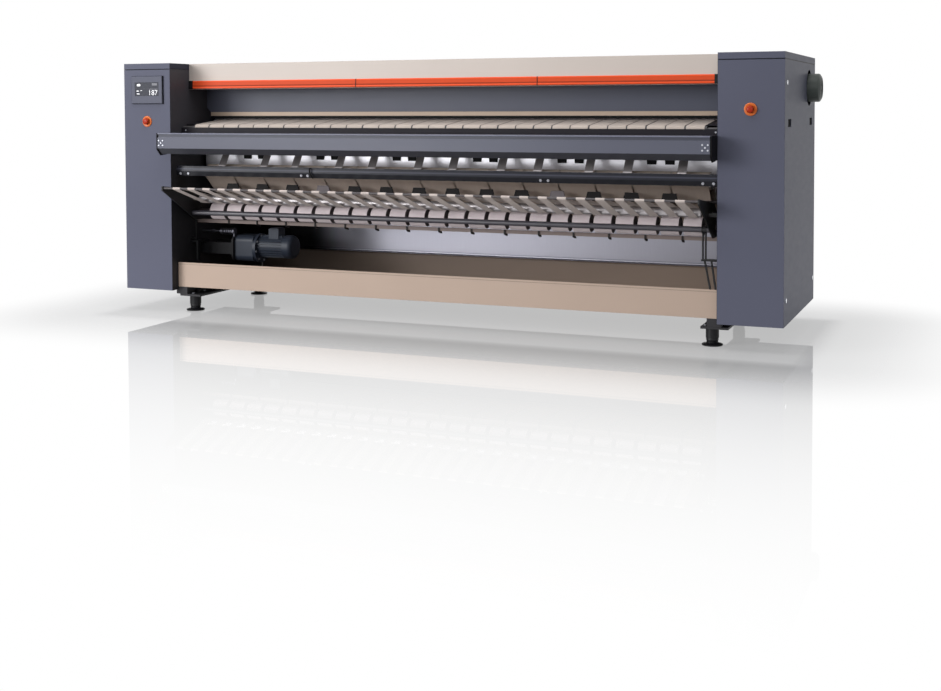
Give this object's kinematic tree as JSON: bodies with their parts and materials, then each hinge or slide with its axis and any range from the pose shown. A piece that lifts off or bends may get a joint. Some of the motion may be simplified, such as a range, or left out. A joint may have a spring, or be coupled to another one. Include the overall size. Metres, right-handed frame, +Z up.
{
  "type": "flatwork ironer",
  "caption": "Wide flatwork ironer with a heated cylinder, ironing belts, feed belts, a sloping return rack and two end cabinets.",
  "frame": {"origin": "middle of the bounding box in plan, on the floor that the feet stand on", "axes": "+X along the machine towards the cabinet with the exhaust motor, +Y from the feeding side to the rear, +Z up"},
  "size_m": [4.072, 1.311, 1.522],
  "materials": {
    "slate_paint": "semi-gloss",
    "cream_paint": "semi-gloss",
    "dark_paint": "satin",
    "frame_paint": "satin",
    "rail_paint": "satin",
    "beige_paint": "semi-gloss",
    "motor_paint": "satin",
    "orange_trim": "gloss",
    "black_plastic": "matte",
    "polished_steel": "polished",
    "stainless": "brushed",
    "machined_steel": "machined",
    "zinc_steel": "satin",
    "cast_housing": "matte",
    "belt_fabric": "woven",
    "tape_fabric": "woven",
    "sleeve_rubber": "matte",
    "screen_glass": "gloss",
    "button_red": "gloss",
    "collar_orange": "gloss"
  },
  "bodies": {
    "machine": {"side_frame_left": "frame_paint", "side_frame_right": "frame_paint", "cabinet_left": "slate_paint", "cabinet_right": "slate_paint", "top_lid_left": "slate_paint", "top_lid_right": "slate_paint", "side_panel_left": "slate_paint", "side_panel_right": "slate_paint", "panel_locks": "black_plastic", "levelling_feet": "zinc_steel", "cylinder_bearings": "cast_housing", "heater_core": "machined_steel", "drive_chain": "machined_steel", "ironing_belts": "belt_fabric", "feed_table": "dark_paint", "feed_belts": "belt_fabric", "front_rail": "rail_paint", "rail_arms": "black_plastic", "window_guard": "stainless", "scraper_bar": "black_plastic", "cross_beam": "dark_paint", "belt_combs": "beige_paint", "rack_side_plates": "dark_paint", "rack_front_tube": "stainless", "return_tapes": "tape_fabric", "rack_rod": "machined_steel", "hook_strip": "stainless", "rack_stays": "zinc_steel", "hood": "cream_paint", "rear_panel": "cream_paint", "trim_bar": "orange_trim", "trim_joiners": "black_plastic", "guard_hinge_rod": "machined_steel", "trough": "beige_paint", "rear_liner": "stainless", "gearbox": "motor_paint", "drive_motor": "motor_paint", "motor_frame": "frame_paint", "fan_housing": "zinc_steel", "fan_motor": "motor_paint", "stop_collars": "collar_orange", "display_housing": "black_plastic", "display_screen": "screen_glass", "frame_bolts": "zinc_steel"},
    "cylinder": {"heated_cylinder": "polished_steel", "cylinder_sprocket": "machined_steel"},
    "drive_wheel": {"drive_sprocket": "machined_steel"},
    "finger_flap": {"finger_guard": "dark_paint"},
    "exhaust_wheel": {"fan_wheel": "zinc_steel"},
    "stop_left": {"stop_button_left": "button_red"},
    "stop_right": {"stop_button_right": "button_red"},
    "rack_roller": {"tape_roller": "machined_steel"},
    "sleeve_roller": {"segmented_roller": "sleeve_rubber"},
    "belt_roller_entry_body": {"belt_roller_entry": "machined_steel"},
    "belt_roller_exit_body": {"belt_roller_exit": "machined_steel"},
    "belt_roller_low_body": {"belt_roller_low": "machined_steel"},
    "belt_roller_rear_low_body": {"belt_roller_rear_low": "machined_steel"},
    "belt_roller_rear_high_body": {"belt_roller_rear_high": "machined_steel"},
    "feed_nose_roller_body": {"feed_nose_roller": "machined_steel"},
    "feed_drive_roller_body": {"feed_drive_roller": "machined_steel"}
  },
  "joints": [
    {"name": "cylinder_spin", "type": "hinge", "parent": "machine", "child": "cylinder", "pos_m": [-0.032, 0.1605, 0.955], "axis": [1, 0, 0], "continuous": true},
    {"name": "belt_roller_entry_spin", "type": "hinge", "parent": "machine", "child": "belt_roller_entry_body", "pos_m": [-0.032, -0.03051, 1.25138], "axis": [1, 0, 0], "continuous": true},
    {"name": "belt_roller_exit_spin", "type": "hinge", "parent": "machine", "child": "belt_roller_exit_body", "pos_m": [-0.032, -0.2065, 0.85], "axis": [1, 0, 0], "continuous": true},
    {"name": "belt_roller_low_spin", "type": "hinge", "parent": "machine", "child": "belt_roller_low_body", "pos_m": [-0.032, 0.0205, 0.622], "axis": [1, 0, 0], "continuous": true},
    {"name": "belt_roller_rear_low_spin", "type": "hinge", "parent": "machine", "child": "belt_roller_rear_low_body", "pos_m": [-0.032, 0.5005, 0.66], "axis": [1, 0, 0], "continuous": true},
    {"name": "belt_roller_rear_high_spin", "type": "hinge", "parent": "machine", "child": "belt_roller_rear_high_body", "pos_m": [-0.032, 0.5005, 1.215], "axis": [1, 0, 0], "continuous": true},
    {"name": "feed_nose_roller_spin", "type": "hinge", "parent": "machine", "child": "feed_nose_roller_body", "pos_m": [-0.032, -0.3445, 1.13], "axis": [1, 0, 0], "continuous": true},
    {"name": "feed_drive_roller_spin", "type": "hinge", "parent": "machine", "child": "feed_drive_roller_body", "pos_m": [-0.032, -0.0925, 1.156], "axis": [1, 0, 0], "continuous": true},
    {"name": "tape_roller_spin", "type": "hinge", "parent": "machine", "child": "rack_roller", "pos_m": [-0.032, -0.3345, 0.692], "axis": [1, 0, 0], "continuous": true},
    {"name": "segmented_roller_spin", "type": "hinge", "parent": "machine", "child": "sleeve_roller", "pos_m": [-0.032, -0.2595, 0.613], "axis": [1, 0, 0], "continuous": true},
    {"name": "drive_sprocket_spin", "type": "hinge", "parent": "machine", "child": "drive_wheel", "pos_m": [-1.732, -0.0845, 0.374], "axis": [1, 0, 0], "continuous": true},
    {"name": "fan_spin", "type": "hinge", "parent": "machine", "child": "exhaust_wheel", "pos_m": [1.768, 0.3655, 1.35], "axis": [1, 0, 0], "continuous": true},
    {"name": "finger_guard_swing", "type": "hinge", "parent": "machine", "child": "finger_flap", "pos_m": [-0.032, -0.0985, 1.392], "axis": [1, 0, 0], "range_deg": [0, 5]},
    {"name": "stop_left_press", "type": "slide", "parent": "machine", "child": "stop_left", "axis": [0, 1, 0], "range_m": [0, 0.006], "stiffness_N_per_m": 2000},
    {"name": "stop_right_press", "type": "slide", "parent": "machine", "child": "stop_right", "axis": [0, 1, 0], "range_m": [0, 0.006], "stiffness_N_per_m": 2000}
  ],
  "couplings": [
    {"joint": "belt_roller_entry_spin", "follows": "cylinder_spin", "ratio": -6.5217},
    {"joint": "belt_roller_exit_spin", "follows": "cylinder_spin", "ratio": -6.5217},
    {"joint": "belt_roller_low_spin", "follows": "cylinder_spin", "ratio": -6.5217},
    {"joint": "belt_roller_rear_low_spin", "follows": "cylinder_spin", "ratio": -6.5217},
    {"joint": "belt_roller_rear_high_spin", "follows": "cylinder_spin", "ratio": -6.5217},
    {"joint": "feed_nose_roller_spin", "follows": "cylinder_spin", "ratio": 16.667},
    {"joint": "feed_drive_roller_spin", "follows": "cylinder_spin", "ratio": 16.667},
    {"joint": "tape_roller_spin", "follows": "cylinder_spin", "ratio": -12.5},
    {"joint": "segmented_roller_spin", "follows": "cylinder_spin", "ratio": -6},
    {"joint": "drive_sprocket_spin", "follows": "cylinder_spin", "ratio": 2.9231}
  ]
}
